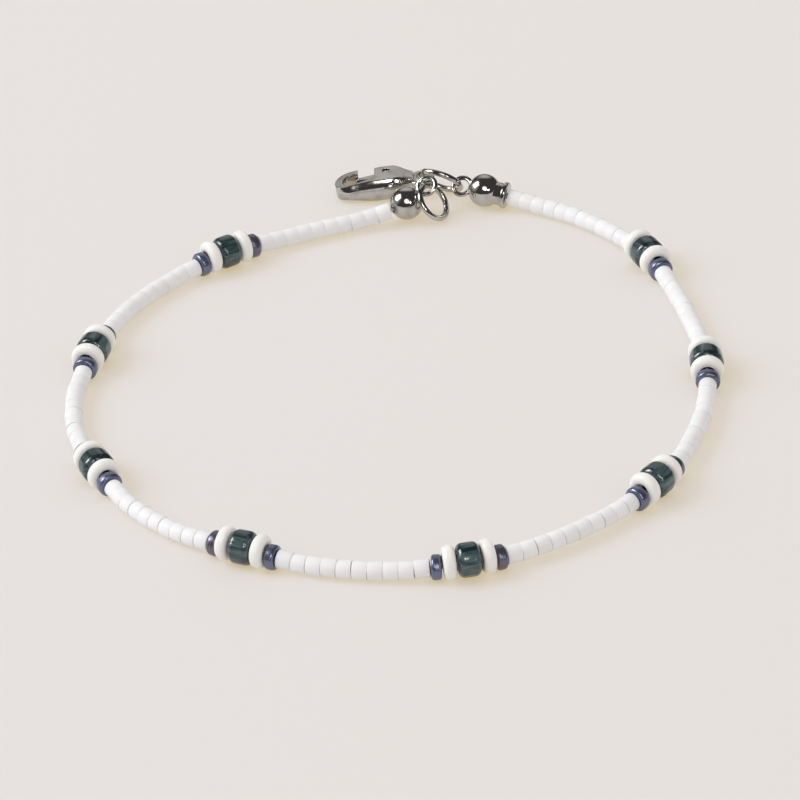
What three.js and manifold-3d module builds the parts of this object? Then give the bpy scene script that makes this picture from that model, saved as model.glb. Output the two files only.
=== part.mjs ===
// A beaded bracelet lying flat and unfastened: one strand of small white beads with
// eight accent groups, a ball end on each side, two jump rings and a lobster clasp.
// Millimetres, +Z up, the table at Z = 0, +Y away from the viewer of the front.

import * as THREE from "three";
import Module from "manifold-3d";
import { mergeVertices } from "three/addons/utils/BufferGeometryUtils.js";

const wasm = await Module();
wasm.setup();

// Beads: length along the strand, outer diameter, bore, and the diameter of the end faces
const GLASS_BEAD = { length: 2.0, diameter: 3.0, bore: 1.4, face: 2.1 };
const CREAM_BEAD = { length: 1.1, diameter: 3.0, bore: 1.4, face: 2.2 };
const DARK_BEAD = { length: 0.9, diameter: 2.2, bore: 0.9, face: 1.7 };
const WHITE_BEAD = { diameter: 1.6, bore: 0.8, groove: 1.42, shoulder: 0.16 };
const BEAD_GAP = 0.08;

// Every bead rests near the table, so the thread runs low in the bores of the large ones
const GROUP_STRAND_HEIGHT = 1.1;
const DARK_BEAD_HEIGHT = 1.13;

// The strand's thread
const THREAD_DIAMETER = 0.4;
const THREAD_STEP = 2.4;

// Facets round the turned and bent pieces
const ACCENT_SIDES = 12;
const WHITE_SIDES = 10;
const WIRE_SIDES = 6;
const RING_SIDES = 16;
const BALL_SIDES = 14;
const BORE_PARTS = 3;

// The plan of the strand, from its left end round the front to its right end.
// A span is a row of white beads: how many, its length, how far it turns left in
// degrees, and the heights of its start, middle and end above the table.
const STRAND_START = { x: 0.411, y: 30.444, heading: 189.2 };
const SPANS = [
  { beads: 10, length: 13.03, turn: 15.5, heights: [1.4, 0.88, GROUP_STRAND_HEIGHT] },
  { beads: 10, length: 13.61, turn: 36.0, heights: [GROUP_STRAND_HEIGHT, 0.88, GROUP_STRAND_HEIGHT] },
  { beads: 10, length: 13.15, turn: 33.2, heights: [GROUP_STRAND_HEIGHT, 0.88, GROUP_STRAND_HEIGHT] },
  { beads: 10, length: 12.89, turn: 30.3, heights: [GROUP_STRAND_HEIGHT, 0.88, GROUP_STRAND_HEIGHT] },
  { beads: 10, length: 13.1, turn: 24.3, heights: [GROUP_STRAND_HEIGHT, 0.88, GROUP_STRAND_HEIGHT] },
  { beads: 10, length: 13.16, turn: 24.9, heights: [GROUP_STRAND_HEIGHT, 1.12, GROUP_STRAND_HEIGHT] },
  { beads: 10, length: 13.02, turn: 22.2, heights: [GROUP_STRAND_HEIGHT, 1.02, GROUP_STRAND_HEIGHT] },
  { beads: 10, length: 13.04, turn: 10.7, heights: [GROUP_STRAND_HEIGHT, 0.88, GROUP_STRAND_HEIGHT] },
  { beads: 12, length: 15.14, turn: 36.7, heights: [GROUP_STRAND_HEIGHT, 0.9, 1.2] },
];
// The middle of the bracelet's outline in the plan below, set over the origin
const MIDDLE = { x: -0.453, y: 4.264 };

// The accent groups: how far the strand turns along each, in degrees, and its dark beads
const GROUPS = [
  { turn: 9.1, darkBeads: 2 },
  { turn: 4.8, darkBeads: 2 },
  { turn: 8.4, darkBeads: 2 },
  { turn: 7.8, darkBeads: 2 },
  { turn: 19.8, darkBeads: 2 },
  { turn: 17.8, darkBeads: 2 },
  { turn: 12.2, darkBeads: 2 },
  { turn: 12.6, darkBeads: 1 },
];

// Ball ends: the ball's centre, the collar's far end, and the wire loop's centre and axis
const BALL_DIAMETER = 3.1;
const BALL_BORE = 0.6;
const LOOP = { radius: 0.85, wire: 0.46 };
const LEFT_END = {
  ball: [1.98, 31.32, 1.6],
  mouth: [0.635, 30.569, 1.429],
  collar: 0.9,
  loop: [3.95, 32.15, 2.8],
  loopAxis: [-0.3, -0.55, 0.78],
};
const RIGHT_END = {
  ball: [9.31, 32.6, 1.6],
  mouth: [11.375, 31.763, 1.317],
  collar: 2.5,
  loop: [7.28, 33.58, 1.64],
  loopAxis: [-0.25, -0.56, 0.79],
};

// Jump rings: centre, axis, radius of the wire's centre line
const RING_WIRE = 0.56;
const LEFT_RING = { centre: [4.46, 31.05, 1.67], axis: [0.7, -0.34, 0.62], radius: 1.67 };
const RIGHT_RING = { centre: [5.33, 34.47, 1.9], axis: [0.39, 0.69, 0.61], radius: 1.95 };

// Lobster clasp, its tail raised by its ring: its own x runs from the eyelet to the
// nose, its own y towards its solid arm, away from the lever
const CLASP = {
  eyelet: [3.55, 35.8, 1.42],
  heading: 182,
  tilt: 3.5,
  thickness: 2.2,
  edge: 0.25,
  eyeletRadius: 1.25,
  eyeletHole: 0.78,
  eyeletThickness: 0.65,
  noseThinning: 0.5,
  tailThinning: 0.45,
};
const SLOT = { from: 2.2, to: 4.8, inner: 0.1, outer: -3.2, height: 1.1 };
const LEVER = { pivotX: 3.2, pivotY: -0.75, hubRadius: 0.6, thickness: 0.9 };
const PIN = { diameter: 0.56, hole: 0.72, length: 2.0 };

const COLOURS = {
  glass: 0x2c4a4e,
  cream: 0xe4dfd6,
  dark: 0x4a4e5c,
  white: 0xf2f2f3,
  thread: 0xd8d8d8,
  metal: 0xb4b5b8,
};
const UP = new THREE.Vector3(0, 0, 1);

function material(colour, roughness, metalness) {
  return new THREE.MeshStandardMaterial({ color: colour, roughness, metalness });
}

function degrees(value) {
  return THREE.MathUtils.degToRad(value);
}

function groupLength(darkBeads) {
  const beads = GLASS_BEAD.length + 2 * CREAM_BEAD.length + darkBeads * DARK_BEAD.length;
  return beads + (4 + darkBeads) * BEAD_GAP;
}

// The strand as a chain of circular arcs, each with its start point, heading and bend
function strandArcs() {
  const arcs = [];
  let x = STRAND_START.x;
  let y = STRAND_START.y;
  let heading = degrees(STRAND_START.heading);
  let start = 0;
  const add = (length, turn, heights, beads) => {
    const bend = degrees(turn) / length;
    arcs.push({ start, length, x, y, heading, bend, heights, beads });
    const end = heading + bend * length;
    x += (Math.sin(end) - Math.sin(heading)) / bend;
    y -= (Math.cos(end) - Math.cos(heading)) / bend;
    heading = end;
    start += length;
  };
  const level = [GROUP_STRAND_HEIGHT, GROUP_STRAND_HEIGHT, GROUP_STRAND_HEIGHT];
  SPANS.forEach((span, index) => {
    add(span.length, span.turn, span.heights, span.beads);
    if (index === GROUPS.length) return;
    const { turn, darkBeads } = GROUPS[index];
    add(groupLength(darkBeads), turn, level, darkBeads);
  });
  return arcs;
}

const ARCS = strandArcs();
const LAST_ARC = ARCS[ARCS.length - 1];
const STRAND_LENGTH = LAST_ARC.start + LAST_ARC.length;

// Height of the strand's axis: level through a group, easing to the middle of a span
function axisHeight(arc, distance) {
  const [start, middle, end] = arc.heights;
  const side = 2 * distance > arc.length ? end : start;
  const across = Math.abs((2 * distance) / arc.length - 1);
  return middle + (side - middle) * across ** 3;
}

// Centre, sideways direction and heading of the strand at a distance along it
function strandAt(distance) {
  const arc = ARCS.findLast((a) => a.start <= distance) ?? ARCS[0];
  const along = distance - arc.start;
  const heading = arc.heading + arc.bend * along;
  const x = arc.x + (Math.sin(heading) - Math.sin(arc.heading)) / arc.bend;
  const y = arc.y - (Math.cos(heading) - Math.cos(arc.heading)) / arc.bend;
  const z = axisHeight(arc, THREE.MathUtils.clamp(along, 0, arc.length));
  const side = new THREE.Vector3(Math.sin(heading), -Math.cos(heading), 0);
  return { centre: new THREE.Vector3(x, y, z), side, heading };
}

// A ring of revolution about Y from a closed profile, with a flat facet facing down
function turned(profile, sides) {
  const points = profile.map(([radius, along]) => new THREE.Vector2(radius, along));
  points.push(points[0].clone());
  return new THREE.LatheGeometry(points, sides, Math.PI / sides);
}

// Polygons are drawn round their circle, so that their flats keep the stated diameter
function outside(diameter, sides) {
  return diameter / 2 / Math.cos(Math.PI / sides);
}

// Profile of a drilled bead: flat end faces, rounded shoulders, fullest in the middle
function beadProfile(bead, fullFrom) {
  const half = bead.length / 2;
  const full = outside(bead.diameter, ACCENT_SIDES);
  const face = outside(bead.face, ACCENT_SIDES);
  const bore = outside(bead.bore, ACCENT_SIDES);
  return [
    [bore, -half],
    [face, -half],
    [full, -half * fullFrom],
    [full, half * fullFrom],
    [face, half],
    [bore, half],
  ];
}

function addTurnedBead(parent, name, bead, fullFrom, finish, distance, height) {
  const at = strandAt(distance);
  const mesh = new THREE.Mesh(turned(beadProfile(bead, fullFrom), ACCENT_SIDES), finish);
  mesh.name = name;
  mesh.position.set(at.centre.x, at.centre.y, height);
  mesh.rotation.z = at.heading - Math.PI / 2;
  parent.add(mesh);
}

// One accent group: dark, cream, glass, cream and, where it has a second one, dark
function addGroup(parent, number, arc) {
  const glass = { bead: GLASS_BEAD, full: 0.5, finish: material(COLOURS.glass, 0.1, 0.1) };
  const cream = { bead: CREAM_BEAD, full: 0.3, finish: material(COLOURS.cream, 0.6, 0) };
  const dark = { bead: DARK_BEAD, full: 0.35, finish: material(COLOURS.dark, 0.25, 0.7) };
  const middle = GLASS_BEAD.diameter / 2;
  const row = [
    { name: `dark_bead_${number}a`, kind: dark, height: DARK_BEAD_HEIGHT },
    { name: `cream_bead_${number}a`, kind: cream, height: middle },
    { name: `glass_bead_${number}`, kind: glass, height: middle },
    { name: `cream_bead_${number}b`, kind: cream, height: middle },
  ];
  if (arc.beads === 2) row.push({ name: `dark_bead_${number}b`, kind: dark, height: DARK_BEAD_HEIGHT });
  let from = arc.start + BEAD_GAP;
  for (const { name, kind, height } of row) {
    addTurnedBead(parent, name, kind.bead, kind.full, kind.finish, from + kind.bead.length / 2, height);
    from += kind.bead.length + BEAD_GAP;
  }
}

// A straight turned shape whose Y runs along the strand, bent to the strand's route
function bendAlongStrand(geometry, start) {
  const position = geometry.getAttribute("position");
  for (let i = 0; i < position.count; i += 1) {
    const at = strandAt(start + position.getY(i));
    const point = at.centre.addScaledVector(at.side, position.getX(i));
    point.addScaledVector(UP, position.getZ(i));
    position.setXYZ(i, point.x, point.y, point.z);
  }
  geometry.computeVertexNormals();
  return geometry;
}

// A row of white beads as one body: full shoulders, a groove between neighbours, one bore
function whiteStringProfile(length, beads) {
  const full = outside(WHITE_BEAD.diameter, WHITE_SIDES);
  const groove = outside(WHITE_BEAD.groove, WHITE_SIDES);
  const bore = outside(WHITE_BEAD.bore, WHITE_SIDES);
  const pitch = length / beads;
  const profile = [[bore, 0], [groove, 0]];
  for (let bead = 0; bead < beads; bead += 1) {
    profile.push([full, (bead + WHITE_BEAD.shoulder) * pitch]);
    profile.push([full, (bead + 1 - WHITE_BEAD.shoulder) * pitch]);
    profile.push([groove, (bead + 1) * pitch]);
  }
  for (let part = BORE_PARTS; part > 0; part -= 1) profile.push([bore, (length * part) / BORE_PARTS]);
  return profile;
}

function addWhiteString(parent, number, arc) {
  const string = turned(whiteStringProfile(arc.length, arc.beads), WHITE_SIDES);
  const mesh = new THREE.Mesh(bendAlongStrand(string, arc.start), material(COLOURS.white, 0.5, 0));
  mesh.name = `white_beads_${number}`;
  parent.add(mesh);
}

// A solid strand of thread along a curve
function threadAlong(curve, steps) {
  const corners = [];
  for (let side = 0; side < WIRE_SIDES; side += 1) {
    const angle = (2 * Math.PI * side) / WIRE_SIDES;
    corners.push(new THREE.Vector2(Math.cos(angle), Math.sin(angle)).multiplyScalar(THREAD_DIAMETER / 2));
  }
  return new THREE.ExtrudeGeometry(new THREE.Shape(corners), { extrudePath: curve, steps });
}

// The thread runs through every bore, from inside one ball to inside the other
function addThread(parent) {
  const points = [vector(LEFT_END.ball), vector(LEFT_END.mouth)];
  const count = Math.round(STRAND_LENGTH / THREAD_STEP);
  for (let i = 0; i <= count; i += 1) points.push(strandAt((i / count) * STRAND_LENGTH).centre);
  points.push(vector(RIGHT_END.mouth), vector(RIGHT_END.ball));
  const curve = new THREE.CatmullRomCurve3(points, false, "centripetal");
  const mesh = new THREE.Mesh(threadAlong(curve, points.length), material(COLOURS.thread, 0.6, 0));
  mesh.name = "thread";
  parent.add(mesh);
}

// Solids for joining and cutting, made from closed three.js shapes
function solid(geometry) {
  const bare = geometry.clone();
  bare.deleteAttribute("normal");
  bare.deleteAttribute("uv");
  const merged = mergeVertices(bare, 1e-5);
  return new wasm.Manifold(
    new wasm.Mesh({
      numProp: 3,
      vertProperties: new Float32Array(merged.getAttribute("position").array),
      triVerts: new Uint32Array(merged.getIndex().array),
    }),
  );
}

function geometryOf(manifold) {
  const mesh = manifold.getMesh();
  const geometry = new THREE.BufferGeometry();
  geometry.setAttribute("position", new THREE.BufferAttribute(new Float32Array(mesh.vertProperties), 3));
  geometry.setIndex(new THREE.BufferAttribute(new Uint32Array(mesh.triVerts), 1));
  geometry.computeVertexNormals();
  return geometry;
}

// A shape made about its own Y or Z, turned to an axis and moved to a centre
function placed(geometry, from, axis, centre) {
  const turn = new THREE.Quaternion().setFromUnitVectors(from, axis.clone().normalize());
  return geometry.applyQuaternion(turn).translate(centre.x, centre.y, centre.z);
}

function ringGeometry(radius, wire, axis, centre) {
  const ring = new THREE.TorusGeometry(radius, wire / 2, WIRE_SIDES, RING_SIDES);
  return placed(ring, UP, axis, centre);
}

function vector(numbers) {
  return new THREE.Vector3(...numbers);
}

function cylinderBetween(radius, from, to, sides) {
  const along = to.clone().sub(from);
  const cylinder = new THREE.CylinderGeometry(radius, radius, along.length(), sides);
  return placed(cylinder, new THREE.Vector3(0, 1, 0), along, from.clone().add(to).multiplyScalar(0.5));
}

// A ball with a collar towards the strand, a bore for the thread and a soldered wire loop
function addBallEnd(parent, name, end) {
  const centre = vector(end.ball);
  const mouth = vector(end.mouth);
  const out = mouth.clone().sub(centre).normalize();
  const ball = new THREE.SphereGeometry(BALL_DIAMETER / 2, BALL_SIDES, WHITE_SIDES).translate(...end.ball);
  const collar = cylinderBetween(end.collar / 2, centre, mouth, RING_SIDES);
  const drill = cylinderBetween(BALL_BORE / 2, centre, mouth.clone().add(out), WHITE_SIDES);
  const loop = ringGeometry(LOOP.radius, LOOP.wire, vector(end.loopAxis), vector(end.loop));
  const body = solid(ball).add(solid(collar)).subtract(solid(drill)).add(solid(loop));
  const mesh = new THREE.Mesh(geometryOf(body), material(COLOURS.metal, 0.2, 1));
  mesh.name = name;
  parent.add(mesh);
}

function addJumpRing(parent, name, ring) {
  const geometry = ringGeometry(ring.radius, RING_WIRE, vector(ring.axis), vector(ring.centre));
  const mesh = new THREE.Mesh(geometry, material(COLOURS.metal, 0.2, 1));
  mesh.name = name;
  parent.add(mesh);
}

// Outline of the clasp's body from above: thick hook on one side, open mouth on the other
function claspOutline() {
  const outline = new THREE.Shape();
  outline.moveTo(0.7, 0.8);
  outline.bezierCurveTo(1.6, 1.0, 2.2, 1.35, 3.6, 1.35);
  outline.bezierCurveTo(5.0, 1.35, 5.6, 1.1, 6.6, 1.1);
  outline.bezierCurveTo(7.6, 1.05, 8.1, 0.4, 8.1, -0.4);
  outline.bezierCurveTo(8.1, -1.2, 7.5, -1.9, 6.7, -1.9);
  outline.lineTo(5.8, -1.85);
  outline.lineTo(5.85, -1.25);
  outline.lineTo(6.6, -1.25);
  outline.bezierCurveTo(7.1, -1.2, 7.4, -0.8, 7.4, -0.4);
  outline.bezierCurveTo(7.4, 0.1, 7.0, 0.45, 6.5, 0.45);
  outline.bezierCurveTo(5.4, 0.5, 4.6, 0.35, 4.35, -0.1);
  outline.lineTo(4.25, -1.5);
  outline.bezierCurveTo(3.6, -1.65, 2.8, -1.6, 2.2, -1.45);
  outline.bezierCurveTo(1.7, -1.3, 1.2, -1.0, 0.7, -0.8);
  outline.closePath();
  return outline;
}

// How thick the body is at a place along it, as a share of its full thickness
function claspTaper(x) {
  const nose = THREE.MathUtils.smoothstep(x, 4.2, 8.7) * CLASP.noseThinning;
  const tail = (1 - THREE.MathUtils.smoothstep(x, 0.6, 2.6)) * CLASP.tailThinning;
  return 1 - nose - tail;
}

function extruded(shape, thickness, edge, segments) {
  const geometry = new THREE.ExtrudeGeometry(shape, {
    depth: thickness - 2 * edge,
    bevelEnabled: edge > 0,
    bevelThickness: edge,
    bevelSize: edge,
    bevelOffset: -edge,
    bevelSegments: 2,
    curveSegments: segments,
  });
  return geometry.translate(0, 0, edge - thickness / 2);
}

function disc(radius, thickness, sides, x, y) {
  const round = new THREE.CylinderGeometry(radius, radius, thickness, sides);
  return round.rotateX(Math.PI / 2).translate(x, y, 0);
}

function claspBodyGeometry() {
  const body = extruded(claspOutline(), CLASP.thickness, CLASP.edge, 4);
  const position = body.getAttribute("position");
  for (let i = 0; i < position.count; i += 1) {
    position.setZ(i, position.getZ(i) * claspTaper(position.getX(i)));
  }
  const slot = new THREE.BoxGeometry(SLOT.to - SLOT.from, SLOT.inner - SLOT.outer, SLOT.height);
  slot.translate((SLOT.from + SLOT.to) / 2, (SLOT.inner + SLOT.outer) / 2, 0);
  const { pivotX, pivotY } = LEVER;
  const drilled = solid(disc(PIN.hole / 2, 2 * CLASP.thickness, ACCENT_SIDES, pivotX, pivotY));
  const eyelet = solid(disc(CLASP.eyeletRadius, CLASP.eyeletThickness, RING_SIDES, 0, 0));
  const hole = solid(disc(CLASP.eyeletHole, 2 * CLASP.thickness, RING_SIDES, 0, 0));
  const joined = solid(body).add(eyelet).subtract(hole);
  return geometryOf(joined.subtract(solid(slot)).subtract(drilled));
}

// The lever: a hub on the pin, a gate arm that reaches to the nose, and a thumb tab
function leverOutline() {
  const { pivotX, pivotY, hubRadius } = LEVER;
  const outline = new THREE.Shape();
  outline.moveTo(2.7, -1.5);
  outline.lineTo(2.55, -2.15);
  outline.lineTo(3.55, -2.3);
  outline.lineTo(3.95, -1.55);
  outline.lineTo(6.1, -1.13);
  outline.lineTo(6.1, -0.68);
  outline.lineTo(4.1, -0.55);
  outline.absarc(pivotX, pivotY, hubRadius, degrees(40), degrees(215), false);
  outline.closePath();
  const hole = new THREE.Path();
  hole.absarc(pivotX, pivotY, PIN.hole / 2, 0, 2 * Math.PI, true);
  outline.holes.push(hole);
  return outline;
}

// The clasp group is turned and set down on the table as one
function addClasp(parent) {
  const clasp = new THREE.Group();
  clasp.position.set(...CLASP.eyelet);
  clasp.rotation.set(0, degrees(CLASP.tilt), degrees(CLASP.heading), "ZYX");
  const pin = disc(PIN.diameter / 2, PIN.length, ACCENT_SIDES, LEVER.pivotX, LEVER.pivotY);
  const pieces = [
    { name: "lobster_body", geometry: claspBodyGeometry() },
    { name: "lobster_lever", geometry: extruded(leverOutline(), LEVER.thickness, 0, 6) },
    { name: "lobster_pin", geometry: pin },
  ];
  for (const { name, geometry } of pieces) {
    const mesh = new THREE.Mesh(geometry, material(COLOURS.metal, 0.2, 1));
    mesh.name = name;
    clasp.add(mesh);
  }
  parent.add(clasp);
}

function buildBracelet() {
  const bracelet = new THREE.Group();
  ARCS.forEach((arc, index) => {
    const number = Math.floor(index / 2) + 1;
    if (index % 2 === 0) addWhiteString(bracelet, number, arc);
    else addGroup(bracelet, number, arc);
  });
  addThread(bracelet);
  addBallEnd(bracelet, "ball_end_left", LEFT_END);
  addBallEnd(bracelet, "ball_end_right", RIGHT_END);
  addJumpRing(bracelet, "jump_ring_left", LEFT_RING);
  addJumpRing(bracelet, "jump_ring_right", RIGHT_RING);
  addClasp(bracelet);
  bracelet.position.set(-MIDDLE.x, -MIDDLE.y, 0);
  return bracelet;
}

export default buildBracelet();
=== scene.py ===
"""A beaded bracelet lying open on a pale surface: beads, thread, ball ends, rings and clasp"""

import math
import random

import bmesh
import bpy
from bpy.props import FloatProperty, FloatVectorProperty, IntProperty, PointerProperty
from mathutils import Matrix, Vector


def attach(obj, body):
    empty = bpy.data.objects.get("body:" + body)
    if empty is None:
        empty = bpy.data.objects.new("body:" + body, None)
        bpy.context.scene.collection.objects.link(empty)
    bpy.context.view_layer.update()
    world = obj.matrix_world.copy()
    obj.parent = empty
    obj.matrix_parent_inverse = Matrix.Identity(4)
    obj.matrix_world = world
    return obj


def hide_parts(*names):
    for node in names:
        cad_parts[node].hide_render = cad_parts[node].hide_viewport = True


bl_info = {
    "name": "Beaded Bracelet",
    "version": (1, 0, 0),
    "blender": (4, 5, 0),
    "location": "3D View > Sidebar > Bracelet",
    "description": "Models a beaded bracelet with its clasp, piece by piece, and lights it",
    "category": "Add Mesh",
}

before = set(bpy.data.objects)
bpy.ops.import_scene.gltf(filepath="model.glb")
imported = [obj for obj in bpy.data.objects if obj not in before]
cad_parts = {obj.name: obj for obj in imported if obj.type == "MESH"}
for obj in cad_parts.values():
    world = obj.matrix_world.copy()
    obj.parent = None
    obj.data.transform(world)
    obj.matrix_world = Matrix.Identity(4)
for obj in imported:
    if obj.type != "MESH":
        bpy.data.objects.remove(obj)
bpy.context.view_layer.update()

# Pieces are modelled in millimetres and brought to real size when they are set in place
MILLIMETRE = 0.001
METRES = Matrix.Scale(MILLIMETRE, 4)
UP = Vector((0, 0, 1))

# The strand's plan: spans of white beads and the accent groups between them. Every bead rests
# near the surface, so the strand runs low in the bores of the large ones. The middle of the
# whole plan comes to lie at the frame's origin.
STRAND_START = Vector((0.411, 30.444, 0))
STRAND_HEADING = 189.2
PLAN_MIDDLE = Vector((-0.453, 4.264, 0))
GROUP_STRAND_HEIGHT = 1.1
SPANS = (
    # beads, length, turn to the left in degrees, heights of the start, middle and end
    (10, 13.03, 15.5, (1.4, 0.88, GROUP_STRAND_HEIGHT)),
    (10, 13.61, 36.0, (GROUP_STRAND_HEIGHT, 0.88, GROUP_STRAND_HEIGHT)),
    (10, 13.15, 33.2, (GROUP_STRAND_HEIGHT, 0.88, GROUP_STRAND_HEIGHT)),
    (10, 12.89, 30.3, (GROUP_STRAND_HEIGHT, 0.88, GROUP_STRAND_HEIGHT)),
    (10, 13.10, 24.3, (GROUP_STRAND_HEIGHT, 0.88, GROUP_STRAND_HEIGHT)),
    (10, 13.16, 24.9, (GROUP_STRAND_HEIGHT, 1.12, GROUP_STRAND_HEIGHT)),
    (10, 13.02, 22.2, (GROUP_STRAND_HEIGHT, 1.02, GROUP_STRAND_HEIGHT)),
    (10, 13.04, 10.7, (GROUP_STRAND_HEIGHT, 0.88, GROUP_STRAND_HEIGHT)),
    (12, 15.14, 36.7, (GROUP_STRAND_HEIGHT, 0.90, 1.2)),
)
ACCENT_GROUPS = (
    # turn to the left in degrees, dark beads
    (9.1, 2),
    (4.8, 2),
    (8.4, 2),
    (7.8, 2),
    (19.8, 2),
    (17.8, 2),
    (12.2, 2),
    (12.6, 1),
)
BEAD_GAP = 0.08
DARK_BEAD_HEIGHT = 1.13

# Beads: a white bead fills this share of its step, and an accent bead's shoulders are rounded
# by a share of its length
WHITE_BEAD_SHARE = 0.99
WHITE_ROUNDING = 0.03
GLASS_ROUNDING_SHARE = 0.29
CREAM_ROUNDING_SHARE = 0.44
DARK_ROUNDING_SHARE = 0.3
BORE_ROUNDING_SHARE = 0.08
WHITE_BEAD_SIDES = 28

# Ball ends, rings and clasp: centres and axes in the strand's plan
LEFT_END = {
    "ball": (1.98, 31.32, 1.6),
    "mouth": (0.635, 30.569, 1.429),
    "collar": 0.9,
    "rim": 0.9,
    "loop": (3.95, 32.15, 2.8),
    "loop_axis": (-0.3, -0.55, 0.78),
}
RIGHT_END = {
    "ball": (9.31, 32.6, 1.6),
    "mouth": (11.375, 31.763, 1.317),
    "collar": 2.15,
    "rim": 2.5,
    "loop": (7.28, 33.58, 1.64),
    "loop_axis": (-0.25, -0.56, 0.79),
}
LEFT_RING = {
    "centre": (4.46, 31.05, 1.67),
    "axis": (0.7, -0.34, 0.62),
    "radius": 1.67,
    "joint_angle": 2.0,
}
RIGHT_RING = {
    "centre": (5.33, 34.47, 1.9),
    "axis": (0.39, 0.69, 0.61),
    "radius": 1.95,
    "joint_angle": 1.0,
}
CLASP_EYELET = (3.55, 35.8, 1.42)
CLASP_HEADING = 182
CLASP_TILT = 3.5

RIM_LENGTH = 0.42
RIM_ROUNDING = 0.126
COLLAR_INSET = 0.05
COLLAR_SIDES = 48
DRILL_SIDES = 32
RING_STEPS = 72
WIRE_SIDES = 20

# Clasp, in its own plan: X from the middle of its eyelet to its nose, Y away from its lever
CLASP_THICKNESS = 2.2
CLASP_ROUNDING = 0.067
NOSE_THINNING, NOSE_FROM, NOSE_TO = 0.5, 4.2, 8.7
TAIL_THINNING, TAIL_FROM, TAIL_TO = 0.45, 0.6, 2.6
ARM_ROUNDING, ARM_FROM, ARM_TO = 0.42, 0.45, 1.25
CUTS_ALONG = [0.9 + 0.45 * index for index in range(16)]
CUTS_UP = (-0.6, -0.3, 0, 0.3, 0.6)
EYELET_RADIUS = 1.25
EYELET_HOLE = 0.78
EYELET_THICKNESS = 0.65
EYELET_ROUNDING = 0.16
SLOT_FROM, SLOT_TO = 2.2, 4.8
SLOT_INNER, SLOT_OUTER = 0.1, -3.2
SLOT_HEIGHT = 1.1
LEVER_PIVOT = (3.2, -0.75)
LEVER_HUB_RADIUS = 0.6
LEVER_HUB_TURN = range(40, 216, 25)
LEVER_THICKNESS = 0.9
LEVER_ROUNDING = 0.1
PIN_DIAMETER = 0.56
PIN_HOLE = 0.72
PIN_LENGTH = 2.0
PIN_ROUNDING = 0.03
PIN_SIDES = 32

# The camera: where it looks from, and how it is turned
CAMERA_ELEVATION = 32.6
CAMERA_DISTANCE = 453.2
CAMERA_ROLL = -4.27
FOCAL_LENGTH_IN_IMAGE_WIDTHS = 6.433
SENSOR_WIDTH = 36.0

# The light, with places and sizes in metres: a warm dome and a cooler window. The surface's own
# glow warms the shadows on it.
DOME_STRENGTH = 0.80
DOME_COLOUR = (1.0, 0.97, 0.94)
WINDOW_COLOUR = (0.94, 0.98, 1.0)
WINDOW_POWER = 8.0
WINDOW_PLACE = (-0.98, 0.17, 0.80)
WINDOW_WIDTH, WINDOW_HEIGHT = 0.70, 0.80
FLOOR_SIZE = 3.0
FLOOR_GLOW = (0.52, 0.418, 0.233)

# The room that polished surfaces reflect: its dim walls, and the bright places in it
WALL_BRIGHTNESS = 0.06
ROOM = (
    # direction, angles in degrees within which it is full and past which it is gone, brightness
    ((0.05, 1.0, 0.66), 8, 30, 0.6),  # far wall
    ((-1.0, 0.15, 0.55), 10, 40, 0.4),  # left wall
    ((-0.78, 0.14, 0.63), 7, 11, 12.0),  # left window
    ((0.0, -0.72, 0.69), 5, 17, 3.2),  # near window
    ((0.10, -0.80, 0.62), 3, 6, 16.0),  # lamp
    ((0.42, -0.78, 0.48), 3, 5, 16.0),  # second lamp
)


# Sizes and colours that a user would change


def size_property(name, description, millimetres):
    return FloatProperty(
        name=name,
        description=description,
        default=millimetres * MILLIMETRE,
        min=0.05 * MILLIMETRE,
        max=20 * MILLIMETRE,
        precision=5,
        unit="LENGTH",
    )


def colour_property(name, description, default):
    return FloatVectorProperty(
        name=name, description=description, default=default, subtype="COLOR", min=0.0, max=1.0
    )


class BeadSizes(bpy.types.PropertyGroup):
    """Lengths and diameters of the beads"""

    white_length: size_property("White length", "Length of a white bead", 1.3)
    white_diameter: size_property("White diameter", "Diameter of a white bead", 1.6)
    white_bore: size_property("White bore", "Bore of a white bead", 0.8)
    glass_length: size_property("Glass length", "Length of a teal glass bead", 2.0)
    glass_diameter: size_property("Glass diameter", "Diameter of a teal glass bead", 3.0)
    cream_length: size_property("Cream length", "Length of a cream bead", 1.1)
    cream_diameter: size_property("Cream diameter", "Diameter of a cream bead", 3.0)
    dark_length: size_property("Dark length", "Length of a dark bead", 0.9)
    dark_diameter: size_property("Dark diameter", "Diameter of a dark bead", 2.2)
    dark_bore: size_property("Dark bore", "Bore of a dark bead", 0.9)
    accent_bore: size_property("Accent bore", "Bore of the glass and cream beads", 1.4)
    sides: IntProperty(name="Sides", description="Faces round a bead", default=40, min=12, max=64)
    seed: IntProperty(name="Seed", description="Seed of the beads' small differences", default=7)


class MetalSizes(bpy.types.PropertyGroup):
    """Wires and balls"""

    ball_diameter: size_property("Ball diameter", "Diameter of a ball end", 3.1)
    ball_bore: size_property("Ball bore", "Bore of a ball end", 0.6)
    loop_radius: size_property("Loop radius", "Radius of a ball end's loop", 0.85)
    loop_wire: size_property("Loop wire", "Wire of a ball end's loop", 0.46)
    ring_wire: size_property("Ring wire", "Wire of a jump ring", 0.56)


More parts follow.
